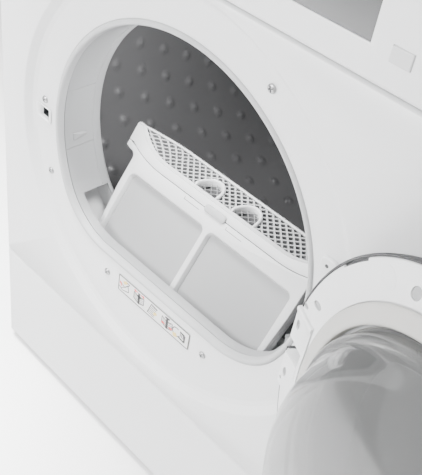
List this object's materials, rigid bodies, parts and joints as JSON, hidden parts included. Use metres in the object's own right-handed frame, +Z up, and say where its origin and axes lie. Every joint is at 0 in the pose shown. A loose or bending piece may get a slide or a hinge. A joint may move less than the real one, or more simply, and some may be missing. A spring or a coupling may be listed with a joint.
{
  "type": "clothes dryer",
  "caption": "Front-loading heat-pump dryer with its round door open and its book-type lint filter lifted out of the slot in the drum port.",
  "frame": {"origin": "on the flat underside of the base tray, midway across the cabinet and 290 mm behind the port lip plane", "axes": "+X to the machine's right seen from the front, +Y from the door into the machine, +Z up"},
  "size_m": [0.9493, 0.8661, 0.85],
  "materials": {
    "white_enamel": "smooth semi-gloss enamel",
    "white_plastic": "satin",
    "light_grey_plastic": "satin",
    "dark_grey_plastic": "satin",
    "black_plastic": "satin",
    "stainless_steel": "brushed",
    "galvanised_steel": "dull galvanised",
    "chromed_steel": "polished",
    "tempered_glass": "polished",
    "beige_rubber": "soft matt",
    "black_rubber": "matt",
    "grey_felt": "felted",
    "polyester_mesh": "fine woven mesh",
    "aluminium_fins": "plain",
    "cast_housing": "painted casting",
    "laminate_worktop": "white laminate over board",
    "printed_label": "printed film",
    "dark_display": "gloss"
  },
  "bodies": {
    "cabinet": {"front_panel": "white_enamel", "kick_panel": "white_enamel", "control_fascia": "white_plastic", "display_window": "dark_display", "side_panel_left": "white_enamel", "side_panel_right": "white_enamel", "rear_panel": "galvanised_steel", "worktop": "laminate_worktop", "base_tray": "light_grey_plastic", "foot_1": "black_rubber", "foot_2": "black_rubber", "foot_3": "black_rubber", "foot_4": "black_rubber", "port_ring": "light_grey_plastic", "filter_duct": "light_grey_plastic", "panel_screw_1": "chromed_steel", "panel_screw_2": "chromed_steel", "panel_screw_3": "chromed_steel", "panel_screw_4": "chromed_steel", "panel_screw_5": "chromed_steel", "door_lock": "light_grey_plastic", "instruction_label": "printed_label", "hinge_plate": "galvanised_steel", "rear_bulkhead": "galvanised_steel", "drum_felt": "grey_felt", "drum_belt": "black_rubber", "motor_housing": "cast_housing", "support_roller_1": "black_rubber", "support_roller_2": "black_rubber", "compressor": "cast_housing", "heat_exchanger": "aluminium_fins", "mains_gland": "black_plastic"},
    "door": {"door_frame": "dark_grey_plastic", "door_inner_ring": "white_plastic", "door_seal": "beige_rubber", "door_bowl": "tempered_glass", "door_window": "dark_display", "hinge_block": "white_plastic", "hinge_pin": "chromed_steel", "door_latch": "stainless_steel"},
    "filter_back": {"filter_rear": "white_plastic", "filter_mesh_rear": "polyester_mesh", "filter_hinge_pin": "galvanised_steel"},
    "filter_cover": {"filter_front": "white_plastic", "filter_mesh_front": "polyester_mesh", "filter_latch": "white_plastic"},
    "drum": {"drum_shell": "stainless_steel", "drum_rear_disc": "stainless_steel", "drum_lifter_1": "dark_grey_plastic", "drum_lifter_2": "dark_grey_plastic", "drum_lifter_3": "dark_grey_plastic", "drum_shaft": "galvanised_steel"},
    "motor_rotor": {"motor_shaft": "stainless_steel", "fan_wheel": "black_plastic"},
    "tank_drawer": {"tank_drawer_front": "white_plastic", "water_tank": "light_grey_plastic"},
    "knob": {"programme_knob": "stainless_steel"},
    "button_start": {"start_button": "light_grey_plastic"},
    "button_1": {"option_button_1": "light_grey_plastic"},
    "button_2": {"option_button_2": "light_grey_plastic"}
  },
  "joints": [
    {"name": "door_hinge", "type": "hinge", "parent": "cabinet", "child": "door", "pos_m": [0.2291, -0.3166, 0.45], "axis": [0, 0, 1], "range_deg": [-152.8, 3]},
    {"name": "filter_lift", "type": "hinge", "parent": "cabinet", "child": "filter_back", "pos_m": [0, -0.08642, 0.25235], "axis": [-1, 0, 0], "range_deg": [-33.6, 0]},
    {"name": "filter_open", "type": "hinge", "parent": "filter_back", "child": "filter_cover", "pos_m": [0, -0.26626, 0.2881], "axis": [1, 0, 0], "range_deg": [0, 12]},
    {"name": "drum_spin", "type": "hinge", "parent": "cabinet", "child": "drum", "pos_m": [0, 0.01, 0.491], "axis": [0, 1, 0], "continuous": true},
    {"name": "motor_spin", "type": "hinge", "parent": "cabinet", "child": "motor_rotor", "pos_m": [0.19, 0.015, 0.132], "axis": [0, 1, 0], "continuous": true},
    {"name": "tank_slide", "type": "slide", "parent": "cabinet", "child": "tank_drawer", "axis": [0, -1, 0], "range_m": [0, 0.3]},
    {"name": "knob_turn", "type": "hinge", "parent": "cabinet", "child": "knob", "pos_m": [0, -0.31, 0.754], "axis": [0, 1, 0], "continuous": true},
    {"name": "start_press", "type": "slide", "parent": "cabinet", "child": "button_start", "axis": [0, 1, 0], "range_m": [0, 0.0025], "stiffness_N_per_m": 800},
    {"name": "option_1_press", "type": "slide", "parent": "cabinet", "child": "button_1", "axis": [0, 1, 0], "range_m": [0, 0.0025], "stiffness_N_per_m": 800},
    {"name": "option_2_press", "type": "slide", "parent": "cabinet", "child": "button_2", "axis": [0, 1, 0], "range_m": [0, 0.0025], "stiffness_N_per_m": 800}
  ],
  "couplings": [
    {"joint": "motor_spin", "follows": "drum_spin", "ratio": 19.96}
  ]
}
